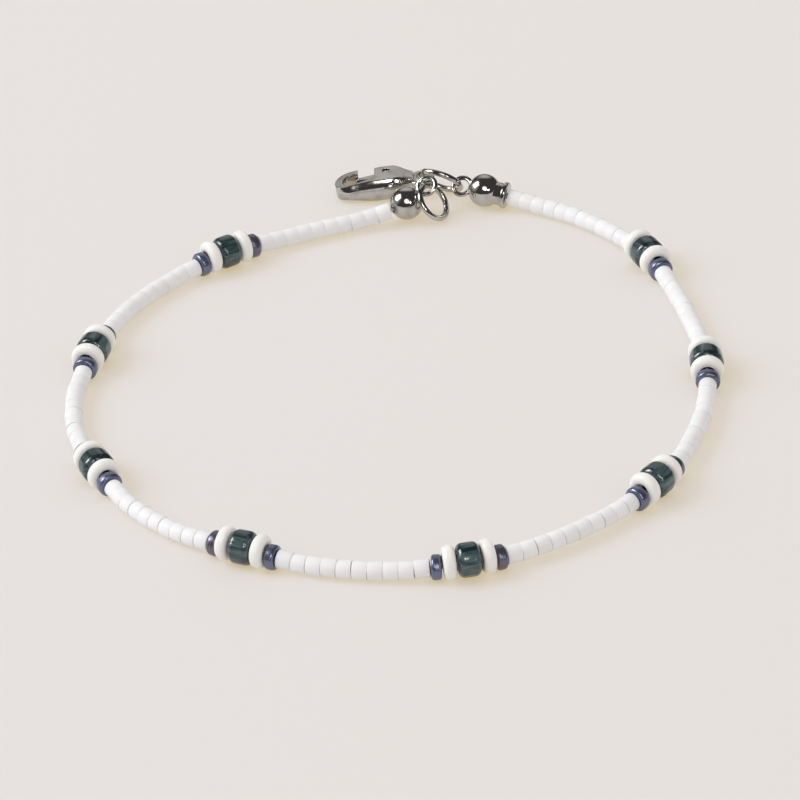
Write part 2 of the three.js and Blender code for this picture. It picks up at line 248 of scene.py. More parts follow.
class Colours(bpy.types.PropertyGroup):
    """Base colours of the finishes"""

    white: colour_property("White", "White opaque glass", (0.87, 0.87, 0.885))
    cream: colour_property("Cream", "Cream opaque glass", (0.87, 0.865, 0.85))
    teal: colour_property("Teal", "Teal glass", (0.008, 0.020, 0.024))
    # The streak colour is also the painted light of the band round the sides of the glass beads
    teal_light: colour_property("Teal streak", "Streaks in the teal glass", (0.095, 0.15, 0.162))
    dark: colour_property("Dark", "Gunmetal lustre", (0.165, 0.19, 0.295))
    dark_brown: colour_property("Dark brown", "Brown side of the lustre", (0.16, 0.145, 0.19))
    metal: colour_property("Metal", "Plated metal", (0.56, 0.55, 0.54))
    thread: colour_property("Thread", "Beading thread", (0.7, 0.7, 0.7))
    # Bluish, so that with the surface's own glow, a painted light, the shadows on it turn warm
    floor: colour_property("Floor", "Surface under the bracelet", (0.255, 0.320, 0.490))


# Shader expressions


class Value:
    """A socket that adds Math nodes when it is used in an expression"""

    def __init__(self, finish, socket):
        self.finish = finish
        self.socket = socket

    def joined(self, operation, first, second):
        return self.finish.add("ShaderNodeMath", {"operation": operation}, {0: first, 1: second})

    def __add__(self, other):
        return self.joined("ADD", self, other)

    __radd__ = __add__

    def __sub__(self, other):
        return self.joined("SUBTRACT", self, other)

    def __rsub__(self, other):
        return self.joined("SUBTRACT", other, self)

    def __mul__(self, other):
        return self.joined("MULTIPLY", self, other)

    __rmul__ = __mul__


class Finish:
    """A node tree that is built from values and settings"""

    def __init__(self, owner):
        owner.use_nodes = True
        self.owner = owner
        self.tree = owner.node_tree
        self.tree.nodes.clear()

    def add(self, kind, settings=None, inputs=None, output=0):
        node = self.tree.nodes.new(kind)
        for name, setting in (settings or {}).items():
            setattr(node, name, setting)
        for name, value in (inputs or {}).items():
            if isinstance(value, Value):
                self.tree.links.new(value.socket, node.inputs[name])
            else:
                node.inputs[name].default_value = value
        return Value(self, node.outputs[output]) if node.outputs else node

    def attribute(self, name, output):
        return self.add("ShaderNodeAttribute", {"attribute_name": name}, output=output)

    def bead_place(self, scale=(1.0, 1.0, 1.0)):
        """The bead's own coordinates, scaled, and moved by its shade so that no two are alike"""
        own = self.attribute("own", 1)
        shade = self.attribute("shade", 2)
        shift = self.add(
            "ShaderNodeVectorMath", {"operation": "SCALE"}, {0: (41.0, 67.0, 23.0), 3: shade}
        )
        moved = self.add("ShaderNodeVectorMath", {"operation": "ADD"}, {0: own, 1: shift})
        return self.add(
            "ShaderNodeVectorMath", {"operation": "MULTIPLY"}, {0: moved, 1: scale}
        )

    def part(self, vector, index):
        """One coordinate of a vector"""
        return self.add("ShaderNodeSeparateXYZ", {}, {0: vector}, output=index)

    def noise(self, coordinates, scale, detail=2.0):
        return self.add(
            "ShaderNodeTexNoise", {}, {"Vector": coordinates, "Scale": scale, "Detail": detail}
        )

    def mix(self, factor, first, second):
        inputs = {0: factor, 6: colour4(first), 7: colour4(second)}
        return self.add("ShaderNodeMix", {"data_type": "RGBA"}, inputs, output=2)

    def ramp(self, factor, low, high):
        """0 below low, 1 above high, smooth between"""
        settings = {"interpolation_type": "SMOOTHSTEP"}
        return self.add("ShaderNodeMapRange", settings, {0: factor, 1: low, 2: high})

    def bump(self, height, strength, distance):
        return self.add(
            "ShaderNodeBump", {}, {"Height": height, "Strength": strength, "Distance": distance}
        )

    def surface(self, inputs):
        shader = self.add("ShaderNodeBsdfPrincipled", {}, inputs)
        self.add("ShaderNodeOutputMaterial", {}, {"Surface": shader})


def colour4(colour):
    return colour if isinstance(colour, Value) else (*colour, 1.0)


class Sizes:
    """A property group's lengths in millimetres, and its whole numbers as they are"""

    def __init__(self, group):
        for name, prop in group.bl_rna.properties.items():
            if prop.type == "FLOAT":
                setattr(self, name, getattr(group, name) / MILLIMETRE)
            elif prop.type == "INT":
                setattr(self, name, getattr(group, name))


# Finishes


def white_glass(colours):
    """Opaque white glass, satin, with faint differences from bead to bead"""
    finish = Finish(bpy.data.materials.new("white_glass"))
    shade = finish.attribute("shade", 2)
    own = finish.bead_place()
    cloud = finish.noise(own, 1.3)
    grain = finish.noise(own, 9.0, 3.0)
    dull = tuple(value * 0.93 for value in colours.white)
    finish.surface(
        {
            "Base Color": finish.mix(shade * 0.6 + cloud * 0.4, colours.white, dull),
            "Roughness": 0.42 + cloud * 0.16,
            "Normal": finish.bump(grain, 0.12, 0.00004),
            "Specular IOR Level": 0.3,
        }
    )
    return finish.owner


def cream_glass(colours):
    """Opaque cream glass, eggshell, a little warmer in places"""
    finish = Finish(bpy.data.materials.new("cream_glass"))
    own = finish.bead_place()
    shade = finish.attribute("shade", 2)
    cloud = finish.noise(own, 0.9)
    grain = finish.noise(own, 6.0, 3.0)
    red, green, blue = colours.cream
    warm = (red * 0.99, green * 0.975, blue * 0.95)
    finish.surface(
        {
            "Base Color": finish.mix(shade * 0.4 + cloud * 0.6, colours.cream, warm),
            "Roughness": 0.42 + cloud * 0.18,
            "Normal": finish.bump(grain, 0.15, 0.00004),
            "Subsurface Weight": 0.25,
            "Subsurface Radius": (1.0, 0.85, 0.7),
            "Subsurface Scale": 0.0008,
            "Coat Weight": 0.1,
            "Coat Roughness": 0.3,
        }
    )
    return finish.owner


def teal_glass(colours):
    """Dark teal glass with streaks drawn out along the bead, and a painted band of light round its
    sides, darker at its top and bottom
    """
    finish = Finish(bpy.data.materials.new("teal_glass"))
    streak = finish.noise(finish.bead_place((1.0, 1.0, 0.10)), 1.5, 3.0)
    fine = finish.noise(finish.bead_place((1.0, 1.0, 0.16)), 4.5, 2.0)
    height = finish.part(finish.attribute("own", 1), 1)
    # Painted light: the glass is paler round the bead's sides than at its top and bottom, which
    # stay dark
    painted_light_band = finish.ramp(height, -0.8, -0.1) - finish.ramp(height, 1.05, 1.4)
    # The pale mix is partly the glass's own streaks and partly the painted band of light
    streaks_and_painted_light = streak * 0.62 + fine * 0.38 + painted_light_band * 0.09
    ripple = finish.noise(finish.bead_place((1.0, 1.0, 0.14)), 2.4, 2.0)
    finish.surface(
        {
            "Base Color": finish.mix(
                finish.ramp(streaks_and_painted_light, 0.42, 0.78), colours.teal, colours.teal_light
            ),
            "Roughness": 0.04 + fine * 0.07,
            "Normal": finish.bump(ripple, 0.4, 0.0002),
            "IOR": 1.48,
            "Coat Weight": 0.4,
            "Coat Roughness": 0.03,
        }
    )
    return finish.owner


def dark_lustre(colours):
    """Gunmetal lustre on dark glass, blue in places and brown in others"""
    finish = Finish(bpy.data.materials.new("dark_glass"))
    own = finish.bead_place()
    shade = finish.attribute("shade", 2)
    cloud = finish.noise(own, 0.8)
    grain = finish.noise(own, 7.0, 3.0)
    tint = finish.ramp(cloud * 0.6 + shade * 0.4, 0.35, 0.75)
    finish.surface(
        {
            "Base Color": finish.mix(tint, colours.dark, colours.dark_brown),
            "Metallic": 0.8,
            "Roughness": 0.27 + grain * 0.12,
            "Normal": finish.bump(grain, 0.2, 0.00005),
            "Coat Weight": 0.25,
            "Coat Roughness": 0.15,
        }
    )
    return finish.owner


def plated_metal(colours):
    """Silver-coloured plating, polished, with small waves and rubbed places"""
    finish = Finish(bpy.data.materials.new("plated_metal"))
    place = finish.add("ShaderNodeTexCoord", output=3)
    cloud = finish.noise(place, 900.0, 3.0)
    wave = finish.noise(place, 700.0, 1.0)
    scratch = finish.noise(place, 9000.0, 2.0)
    dull = tuple(value * 0.72 for value in colours.metal)
    finish.surface(
        {
            "Base Color": finish.mix(finish.ramp(cloud, 0.4, 0.75), colours.metal, dull),
            "Metallic": 1.0,
            "Roughness": 0.09 + finish.ramp(cloud, 0.4, 0.8) * 0.12,
            "Normal": finish.bump(wave * 0.9 + scratch * 0.1, 0.3, 0.00012),
        }
    )
    return finish.owner


def beading_thread(colours):
    """Pale twisted thread"""
    finish = Finish(bpy.data.materials.new("thread"))
    place = finish.add("ShaderNodeTexCoord", output=3)
    twist = finish.noise(place, 6000.0, 2.0)
    finish.surface(
        {
            "Base Color": finish.mix(twist, colours.thread, (0.55, 0.55, 0.54)),
            "Roughness": 0.7,
            "Normal": finish.bump(twist, 0.5, 0.00005),
        }
    )
    return finish.owner


def pale_surface(colours):
    """The pale matt surface that the bracelet lies on; it glows by itself, a painted light that
    lightens its shadows and, with its bluish base colour, turns them warm
    """
    finish = Finish(bpy.data.materials.new("pale_surface"))
    place = finish.add("ShaderNodeTexCoord", output=3)
    cloud = finish.noise(place, 9.0)
    grain = finish.noise(place, 1500.0, 3.0)
    dull = tuple(value * 0.985 for value in colours.floor)
    finish.surface(
        {
            "Base Color": finish.mix(cloud, colours.floor, dull),
            "Roughness": 0.75,
            "Normal": finish.bump(grain, 0.05, 0.00005),
            "Specular IOR Level": 0.2,
            # Painted light: the surface's own glow lightens and warms the shadows on it
            "Emission Color": (*FLOOR_GLOW, 1.0),
            "Emission Strength": 1.0,
        }
    )
    return finish.owner


FINISHES = {
    "white_glass": white_glass,
    "cream_glass": cream_glass,
    "teal_glass": teal_glass,
    "dark_glass": dark_lustre,
    "plated_metal": plated_metal,
    "thread": beading_thread,
}


def finish_for(context, slot):
    """The slot's material, made once"""
    made = context.scene.get("made_" + slot)
    if made:
        return made
    material = FINISHES[slot](context.scene.bracelet_colours)
    context.scene["made_" + slot] = material
    return material


# The strand's route


class Arc:
    """One bend of the strand: its beads, where it starts, its curve and its heights"""

    def __init__(self, place, heading, beads, length, turn, heights):
        self.place, self.heading, self.beads = place, heading, beads
        self.length, self.heights = length, heights
        self.bend = math.radians(turn) / length

    def at(self, along):
        """The place and the heading at a distance along the bend"""
        heading = self.heading + self.bend * along
        x = self.place.x + (math.sin(heading) - math.sin(self.heading)) / self.bend
        y = self.place.y - (math.cos(heading) - math.cos(self.heading)) / self.bend
        return Vector((x, y, 0)), heading

    def height(self, along):
        """Level through a group, easing to the middle of a span"""
        start, middle, end = self.heights
        side = end if 2 * along > self.length else start
        across = abs(2 * along / self.length - 1)
        return middle + (side - middle) * across**3


def group_length(sizes, dark_beads):
    """From the strand's last white bead to its next one, across an accent group"""
    beads = sizes.glass_length + 2 * sizes.cream_length + dark_beads * sizes.dark_length
    return beads + (4 + dark_beads) * BEAD_GAP


def glass_place(sizes):
    """How far along its group the middle of the glass bead is"""
    return sizes.dark_length + sizes.cream_length + sizes.glass_length / 2 + 3 * BEAD_GAP


def strand_arcs(sizes):
    """The strand's bends in order: spans of white beads, with an accent group between each two"""
    arcs = []
    place, heading = STRAND_START - PLAN_MIDDLE, math.radians(STRAND_HEADING)
    for index, span in enumerate(SPANS):
        bends = [span]
        if index < len(ACCENT_GROUPS):
            turn, dark_beads = ACCENT_GROUPS[index]
            level = (GROUP_STRAND_HEIGHT,) * 3
            bends.append((dark_beads, group_length(sizes, dark_beads), turn, level))
        for bend in bends:
            arc = Arc(place, heading, *bend)
            arcs.append(arc)
            place, heading = arc.at(arc.length)
    return arcs


def placement(arc, along, height, slope=0.0):
    """A matrix whose Z runs along the strand and whose Y points up"""
    centre, heading = arc.at(along)
    centre.z = height
    ahead = Vector((math.cos(heading), math.sin(heading), slope)).normalized()
    left = UP.cross(ahead).normalized()
    matrix = Matrix((left, ahead.cross(left), ahead)).transposed().to_4x4()
    matrix.translation = centre
    return matrix


# Modelling helpers


def deselect_all():
    if bpy.context.mode != "OBJECT":
        bpy.ops.object.mode_set(mode="OBJECT")
    bpy.ops.object.select_all(action="DESELECT")


def activate(piece):
    deselect_all()
    piece.select_set(True)
    bpy.context.view_layer.objects.active = piece


def select_in_edit_mode(piece, kind, wanted):
    """Enters edit mode with only the faces or edges selected that wanted(element) names"""
    activate(piece)
    bpy.ops.object.mode_set(mode="EDIT")
    bpy.ops.mesh.select_mode(type=kind)
    bpy.ops.mesh.select_all(action="DESELECT")
    mesh = bmesh.from_edit_mesh(piece.data)
    elements = mesh.faces if kind == "FACE" else mesh.edges
    for element in elements:
        if wanted(element):
            element.select_set(True)
    mesh.select_flush_mode()
    bmesh.update_edit_mesh(piece.data)


def leave_edit_mode():
    bpy.ops.object.mode_set(mode="OBJECT")


def everything(element):
    """Names every face or edge"""
    return True


def smooth(piece, angle=35):
    activate(piece)
    bpy.ops.object.shade_smooth_by_angle(angle=math.radians(angle))


def boolean(piece, other, operation):
    """Joins or cuts with another closed shape, which is then deleted"""
    activate(piece)
    modifier = piece.modifiers.new(operation.lower(), "BOOLEAN")
    modifier.operation = operation
    modifier.solver = "EXACT"
    modifier.object = other
    bpy.ops.object.modifier_apply(modifier=modifier.name)
    bpy.data.objects.remove(other)


def bevel_edges(piece, wanted, offset, segments):
    """Rounds the edges that wanted(edge) names, all by less if the rounds would overlap"""
    select_in_edit_mode(piece, "EDGE", wanted)
    bpy.ops.mesh.bevel(offset=offset, segments=segments, affect="EDGES", clamp_overlap=True)
    leave_edit_mode()


def ring_edge(radius, height, tolerance=0.01):
    """A test for the edges of a circle about Z, at either end of a turned piece"""

    def is_on_ring(edge):
        for vertex in edge.verts:
            if abs(vertex.co.xy.length - radius) > tolerance:
                return False
            if abs(abs(vertex.co.z) - height) > tolerance:
                return False
        return edge.verts[0].co.z * edge.verts[1].co.z > 0

    return is_on_ring


def finish_piece(context, piece, name, node, slot, body="root"):
    """Names a piece, gives it its finish, attaches it to its body and hides the CAD node it stands
    for
    """
    piece.name = name
    piece.data.name = name
    piece.data.materials.clear()
    piece.data.materials.append(finish_for(context, slot))
    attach(piece, body)
    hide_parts(node)


# Beads


def turned_bead(name, length, diameter, bore, rounding, segments, sides):
    """A drilled bead about Z: shoulders rounded in this many segments, and softened bore rims"""
    deselect_all()
    bpy.ops.mesh.primitive_cylinder_add(vertices=sides, radius=diameter / 2, depth=length)
    bead = bpy.context.object
    bead.name = name
    select_in_edit_mode(bead, "FACE", lambda face: abs(face.normal.z) > 0.9)
    bpy.ops.mesh.inset(thickness=(diameter - bore) / 2)
    bpy.ops.mesh.bridge_edge_loops()
    leave_edit_mode()
    bore_rims = ring_edge(bore / 2, length / 2, tolerance=0.02)
    bevel_edges(bead, bore_rims, bore * BORE_ROUNDING_SHARE, segments=2)
    bevel_edges(bead, ring_edge(diameter / 2, length / 2), rounding, segments)
    smooth(bead)
    return bead


def lay_copy(bead, differences, placed, shade):
    """A copy of a bead with its own mesh, set in place

    It keeps its own coordinates in millimetres, Y up and Z along the strand, and its shade, so
    that its pattern stays on it wherever it lies.
    """
    copy = bead.copy()
    mesh = copy.data = bead.data.copy()
    bpy.context.collection.objects.link(copy)
    mesh.transform(differences)
    own = mesh.attributes.new("own", "FLOAT_VECTOR", "POINT")
    own.data.foreach_set("vector", [value for vertex in mesh.vertices for value in vertex.co])
    tone = mesh.attributes.new("shade", "FLOAT", "POINT")
    tone.data.foreach_set("value", [shade] * len(mesh.vertices))
    mesh.transform(METRES @ placed)
    return copy


def small_differences(dice, tilt, play, shrink):
    """A roll, and a little tilt in degrees, sideways play and narrowing, as strung beads have"""
    roll = Matrix.Rotation(dice.uniform(0, math.tau), 4, "Z")
    lean = Matrix.Rotation(math.radians(dice.gauss(0, tilt)), 4, "X")
    turn = Matrix.Rotation(math.radians(dice.gauss(0, tilt)), 4, "Y")
    move = Matrix.Translation((dice.uniform(-play, play), dice.uniform(-play, play) * 0.5, 0))
    width = 1 + dice.uniform(-shrink, 0)
    size = Matrix.Diagonal((width, width, 1, 1))
    return move @ lean @ turn @ size @ roll


class BRACELET_OT_white_beads(bpy.types.Operator):
    """Strings the nine spans of small white beads"""

    bl_idname = "bracelet.white_beads"
    bl_label = "White beads"

    def execute(self, context):
        sizes = Sizes(context.scene.bead_sizes)
        dice = random.Random(sizes.seed)
        master = turned_bead(
            "white_bead", sizes.white_length, sizes.white_diameter, sizes.white_bore,
            WHITE_ROUNDING, segments=2, sides=WHITE_BEAD_SIDES,
        )
        for number, arc in enumerate(strand_arcs(sizes)[::2], start=1):
            step = arc.length / arc.beads
            fit = Matrix.Diagonal((1, 1, step * WHITE_BEAD_SHARE / sizes.white_length, 1))
            beads = []
            for index in range(arc.beads):
                along = (index + 0.5) * step
                slope = (arc.height(along + step / 2) - arc.height(along - step / 2)) / step
                placed = placement(arc, along, arc.height(along), slope)
                differences = small_differences(dice, tilt=1.3, play=0.035, shrink=0.02) @ fit
                beads.append(lay_copy(master, differences, placed, dice.random()))
            deselect_all()
            for bead in beads:
                bead.select_set(True)
            context.view_layer.objects.active = beads[0]
            bpy.ops.object.join()
            node = f"white_beads_{number}"
            finish_piece(context, beads[0], f"white_span_{number}", node, "white_glass")
        bpy.data.objects.remove(master)
        return {"FINISHED"}


def lay_accent(context, master, node, arc, along, height, slot, dice):
    """Lays a copy of a glass, cream or dark bead in its group"""
    placed = placement(arc, along, height)
    differences = small_differences(dice, tilt=1.0, play=0.03, shrink=0.012)
    bead = lay_copy(master, differences, placed, dice.random())
    finish_piece(context, bead, f"{node}_fine", node, slot)


class BRACELET_OT_glass_beads(bpy.types.Operator):
    """Strings the eight teal glass beads in the middle of the accent groups"""

    bl_idname = "bracelet.glass_beads"
    bl_label = "Teal glass beads"

    def execute(self, context):
        sizes = Sizes(context.scene.bead_sizes)
        dice = random.Random(sizes.seed + 1)
        master = turned_bead(
            "glass_bead", sizes.glass_length, sizes.glass_diameter, sizes.accent_bore,
            sizes.glass_length * GLASS_ROUNDING_SHARE, segments=8, sides=sizes.sides,
        )
        height, along = sizes.glass_diameter / 2, glass_place(sizes)
        for number, arc in enumerate(strand_arcs(sizes)[1::2], start=1):
            node = f"glass_bead_{number}"
            lay_accent(context, master, node, arc, along, height, "teal_glass", dice)
        bpy.data.objects.remove(master)
        return {"FINISHED"}


class BRACELET_OT_cream_beads(bpy.types.Operator):
    """Strings the cream beads on both sides of each glass bead"""

    bl_idname = "bracelet.cream_beads"
    bl_label = "Cream beads"

    def execute(self, context):
        sizes = Sizes(context.scene.bead_sizes)
        dice = random.Random(sizes.seed + 2)
        master = turned_bead(
            "cream_bead", sizes.cream_length, sizes.cream_diameter, sizes.accent_bore,
            sizes.cream_length * CREAM_ROUNDING_SHARE, segments=8, sides=sizes.sides,
        )
        reach = (sizes.glass_length + sizes.cream_length) / 2 + BEAD_GAP
        height = sizes.glass_diameter / 2
        for number, arc in enumerate(strand_arcs(sizes)[1::2], start=1):
            for letter, side in (("a", -1), ("b", 1)):
                node = f"cream_bead_{number}{letter}"
                along = glass_place(sizes) + side * reach
                lay_accent(context, master, node, arc, along, height, "cream_glass", dice)
        bpy.data.objects.remove(master)
        return {"FINISHED"}


class BRACELET_OT_dark_beads(bpy.types.Operator):
    """Strings the small dark beads at the ends of the accent groups"""

    bl_idname = "bracelet.dark_beads"
    bl_label = "Dark beads"

    def execute(self, context):
        sizes = Sizes(context.scene.bead_sizes)
        dice = random.Random(sizes.seed + 3)
        master = turned_bead(
            "dark_bead", sizes.dark_length, sizes.dark_diameter, sizes.dark_bore,
            sizes.dark_length * DARK_ROUNDING_SHARE, segments=5, sides=sizes.sides,
        )
        reach = sizes.glass_length / 2 + sizes.cream_length + sizes.dark_length / 2 + 2 * BEAD_GAP
        for number, arc in enumerate(strand_arcs(sizes)[1::2], start=1):
            for letter, side in (("a", -1), ("b", 1))[: arc.beads]:
                node = f"dark_bead_{number}{letter}"
                along = glass_place(sizes) + side * reach
                lay_accent(context, master, node, arc, along, DARK_BEAD_HEIGHT, "dark_glass", dice)
        bpy.data.objects.remove(master)
        return {"FINISHED"}


class BRACELET_OT_thread(bpy.types.Operator):
    """Gives the thread its finish"""

    bl_idname = "bracelet.thread"
    bl_label = "Thread"

    def execute(self, context):
        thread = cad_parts["thread"]
        thread.data.materials.clear()
        thread.data.materials.append(finish_for(context, "thread"))
        return {"FINISHED"}


# Metal pieces


def in_frame(plan_place):
    """A place in the strand's plan, seen from the frame's origin"""
    return Vector(plan_place) - PLAN_MIDDLE


def facing(axis):
    """The turn that brings Z onto an axis"""
    return Vector(axis).normalized().to_track_quat("Z", "Y").to_euler()


def rod(radius, start, end, sides):
    deselect_all()
    bpy.ops.mesh.primitive_cylinder_add(
        vertices=sides,
        radius=radius,
        depth=(end - start).length,
        location=(start + end) / 2,
        rotation=facing(end - start),
    )
    bpy.ops.object.transform_apply()
    return bpy.context.object


def wire_ring(radius, wire, centre, axis):
    deselect_all()
    bpy.ops.mesh.primitive_torus_add(
        major_radius=radius,
        minor_radius=wire / 2,
        major_segments=RING_STEPS,
        minor_segments=WIRE_SIDES,
        location=centre,
        rotation=facing(axis),
    )
    return bpy.context.object


def is_corner(edge):
    """Whether two faces meet at the edge at nearly a right angle"""
    return edge.calc_face_angle(0) > math.radians(60)


def ball_end(context, name, end):
    """A ball with a collar for the strand, a bore for the thread and a soldered loop"""
    metal = Sizes(context.scene.metal_sizes)
    centre, mouth = in_frame(end["ball"]), in_frame(end["mouth"])
    outwards = (mouth - centre).normalized()
    deselect_all()
    bpy.ops.mesh.primitive_uv_sphere_add(
        segments=64, ring_count=32, radius=metal.ball_diameter / 2,
        location=centre, rotation=facing(outwards),
    )
    ball = context.object
    bpy.ops.object.transform_apply()
    collar = rod(end["collar"] / 2, centre, mouth - outwards * COLLAR_INSET, COLLAR_SIDES)
    boolean(ball, collar, "UNION")
    rim = rod(end["rim"] / 2, mouth - outwards * RIM_LENGTH, mouth, COLLAR_SIDES)
    bevel_edges(rim, is_corner, RIM_ROUNDING, segments=4)
    boolean(ball, rim, "UNION")
    drill = rod(metal.ball_bore / 2, centre, mouth + outwards, DRILL_SIDES)
    boolean(ball, drill, "DIFFERENCE")
    loop = wire_ring(metal.loop_radius, metal.loop_wire, in_frame(end["loop"]), end["loop_axis"])
    activate(loop)
    bpy.ops.object.transform_apply()
    boolean(ball, loop, "UNION")
    smooth(ball)
    ball.data.transform(METRES)
    finish_piece(context, ball, f"{name}_fine", name, "plated_metal")


class BRACELET_OT_ball_ends(bpy.types.Operator):
    """Models the two ball ends that the thread is tied into"""

    bl_idname = "bracelet.ball_ends"
    bl_label = "Ball ends"

    def execute(self, context):
        ball_end(context, "ball_end_left", LEFT_END)
        ball_end(context, "ball_end_right", RIGHT_END)
        return {"FINISHED"}


def jump_ring(context, name, ring):
    """A ring of round wire, cut once and closed, with the cut just showing"""
    wire = Sizes(context.scene.metal_sizes).ring_wire
    piece = wire_ring(ring["radius"], wire, in_frame(ring["centre"]), ring["axis"])

    def is_at_joint(face):
        place = face.calc_center_median()
        past_joint = math.atan2(place.y, place.x) - ring["joint_angle"]
        return abs((past_joint + math.pi) % math.tau - math.pi) < math.pi / RING_STEPS

    select_in_edit_mode(piece, "FACE", is_at_joint)
    bpy.ops.mesh.delete(type="FACE")
    select_in_edit_mode(piece, "EDGE", lambda edge: edge.is_boundary)
    bpy.ops.mesh.fill_holes(sides=0)
    leave_edit_mode()
    smooth(piece)
    activate(piece)
    bpy.ops.object.transform_apply()
    piece.data.transform(METRES)
    finish_piece(context, piece, f"{name}_fine", name, "plated_metal")


class BRACELET_OT_jump_rings(bpy.types.Operator):
    """Models the two jump rings"""

    bl_idname = "bracelet.jump_rings"
    bl_label = "Jump rings"

    def execute(self, context):
        jump_ring(context, "jump_ring_left", LEFT_RING)
        jump_ring(context, "jump_ring_right", RIGHT_RING)
        return {"FINISHED"}


# Clasp


def curve_points(start, control1, control2, end, steps):
    """Points along a cubic curve, all but its start"""
    points = []
    for index in range(1, steps + 1):
        t = index / steps
        s = 1 - t
        x, y = (
            s**3 * a + 3 * s * s * t * b + 3 * s * t * t * c + t**3 * d
            for a, b, c, d in zip(start, control1, control2, end)
        )
        points.append((x, y))
    return points


def outline(start, moves, steps=9):
    """Points along straight and curved moves; a curve gives two controls and its end"""
    points = [start]
    for move in moves:
        if len(move) == 1:
            points.append(move[0])
        else:
            points.extend(curve_points(points[-1], *move, steps))
    return points


def plate(name, points, thickness):
    """A closed plate with the given outline, from a filled circle moved onto it"""
    deselect_all()
    bpy.ops.mesh.primitive_circle_add(vertices=len(points), radius=1, fill_type="NGON")
    piece = bpy.context.object
    piece.name = name
    for vertex, (x, y) in zip(piece.data.vertices, points):
        vertex.co = (x, y, -thickness / 2)
    select_in_edit_mode(piece, "FACE", everything)
    bpy.ops.mesh.extrude_region_move(TRANSFORM_OT_translate={"value": (0, 0, thickness)})
    bpy.ops.mesh.select_all(action="SELECT")
    bpy.ops.mesh.normals_make_consistent(inside=False)
    leave_edit_mode()
    return piece


def cut_across(piece, direction, places):
    """Adds edges round a plate at these places along a direction, so that it bends smoothly"""
    for place in places:
        select_in_edit_mode(piece, "FACE", everything)
        bpy.ops.mesh.bisect(plane_co=Vector(direction) * place, plane_no=direction)
        leave_edit_mode()


def smoothstep(x, low, high):
    t = min(max((x - low) / (high - low), 0), 1)
    return t * t * (3 - 2 * t)


def clasp_taper(x):
    """How thick the clasp is along its length, as a share of its full thickness"""
    nose = smoothstep(x, NOSE_FROM, NOSE_TO) * NOSE_THINNING
    tail = (1 - smoothstep(x, TAIL_FROM, TAIL_TO)) * TAIL_THINNING
    return 1 - nose - tail


def disc(radius, thickness, x, y, sides=48):
    deselect_all()
    bpy.ops.mesh.primitive_cylinder_add(
        vertices=sides, radius=radius, depth=thickness, location=(x, y, 0)
    )
    bpy.ops.object.transform_apply()
    return bpy.context.object


def block(low, high, height):
    deselect_all()
    bpy.ops.mesh.primitive_cube_add(
        size=1,
        location=((low[0] + high[0]) / 2, (low[1] + high[1]) / 2, 0),
        scale=(high[0] - low[0], high[1] - low[1], height),
    )
    bpy.ops.object.transform_apply()
    return bpy.context.object


def clasp_matrix():
    """Takes the clasp from its own plan to its place in the frame"""
    place = Matrix.Translation(in_frame(CLASP_EYELET))
    heading = Matrix.Rotation(math.radians(CLASP_HEADING), 4, "Z")
    tilt = Matrix.Rotation(math.radians(CLASP_TILT), 4, "Y")
    return METRES @ place @ heading @ tilt


def clasp_body_points():
    """The body's outline: round its arm, nose and hook, back inside them, and round its plate"""
    return outline(
        (0.7, 0.8),
        [
            ((1.6, 1.0), (2.2, 1.35), (3.6, 1.35)),
            ((5.0, 1.35), (5.6, 1.1), (6.6, 1.1)),
            ((7.6, 1.05), (8.1, 0.4), (8.1, -0.4)),
            ((8.1, -1.2), (7.5, -1.9), (6.7, -1.9)),
            ((5.8, -1.85),),
            ((5.85, -1.25),),
            ((6.6, -1.25),),
            ((7.1, -1.2), (7.4, -0.8), (7.4, -0.4)),
            ((7.4, 0.1), (7.0, 0.45), (6.5, 0.45)),
            ((5.4, 0.5), (4.6, 0.35), (4.35, -0.1)),
            ((4.25, -1.5),),
            ((3.6, -1.65), (2.8, -1.6), (2.2, -1.45)),
            ((1.7, -1.3), (1.2, -1.0), (0.7, -0.8)),
        ],
    )


def lever_points():
    """The lever's outline: its thumb piece, its blade, and its hub about the pivot"""
    thumb_piece = [(2.7, -1.5), (2.55, -2.15), (3.55, -2.3), (3.95, -1.55)]
    blade = [(6.1, -1.13), (6.1, -0.68), (4.1, -0.55)]
    pivot_x, pivot_y = LEVER_PIVOT
    hub = []
    for degrees in LEVER_HUB_TURN:
        angle = math.radians(degrees)
        x, y = math.cos(angle), math.sin(angle)
        hub.append((pivot_x + LEVER_HUB_RADIUS * x, pivot_y + LEVER_HUB_RADIUS * y))
    return thumb_piece + blade + hub


def pin_drill():
    """The shape that cuts the pin's hole through the body or the lever"""
    return disc(PIN_HOLE / 2, 2 * CLASP_THICKNESS, *LEVER_PIVOT, sides=PIN_SIDES)


def clasp_body(context):
    piece = plate("lobster_body_fine", clasp_body_points(), CLASP_THICKNESS)
    bevel_edges(piece, everything, CLASP_ROUNDING, segments=5)
    cut_across(piece, (1, 0, 0), CUTS_ALONG)
    cut_across(piece, (0, 0, 1), CUTS_UP)
    for vertex in piece.data.vertices:
        rise = 2 * vertex.co.z / CLASP_THICKNESS
        vertex.co.y -= ARM_ROUNDING * rise * rise * smoothstep(vertex.co.y, ARM_FROM, ARM_TO)
        vertex.co.z *= clasp_taper(vertex.co.x)
    eyelet = disc(EYELET_RADIUS, EYELET_THICKNESS, 0, 0)
    eyelet_rims = ring_edge(EYELET_RADIUS, EYELET_THICKNESS / 2)
    bevel_edges(eyelet, eyelet_rims, EYELET_ROUNDING, segments=3)
    boolean(piece, eyelet, "UNION")
    boolean(piece, disc(EYELET_HOLE, 2 * CLASP_THICKNESS, 0, 0), "DIFFERENCE")
    slot = block((SLOT_FROM, SLOT_OUTER), (SLOT_TO, SLOT_INNER), SLOT_HEIGHT)
    boolean(piece, slot, "DIFFERENCE")
    boolean(piece, pin_drill(), "DIFFERENCE")
    smooth(piece, angle=32)
    piece.data.transform(clasp_matrix())
    finish_piece(context, piece, "lobster_body_fine", "lobster_body", "plated_metal")


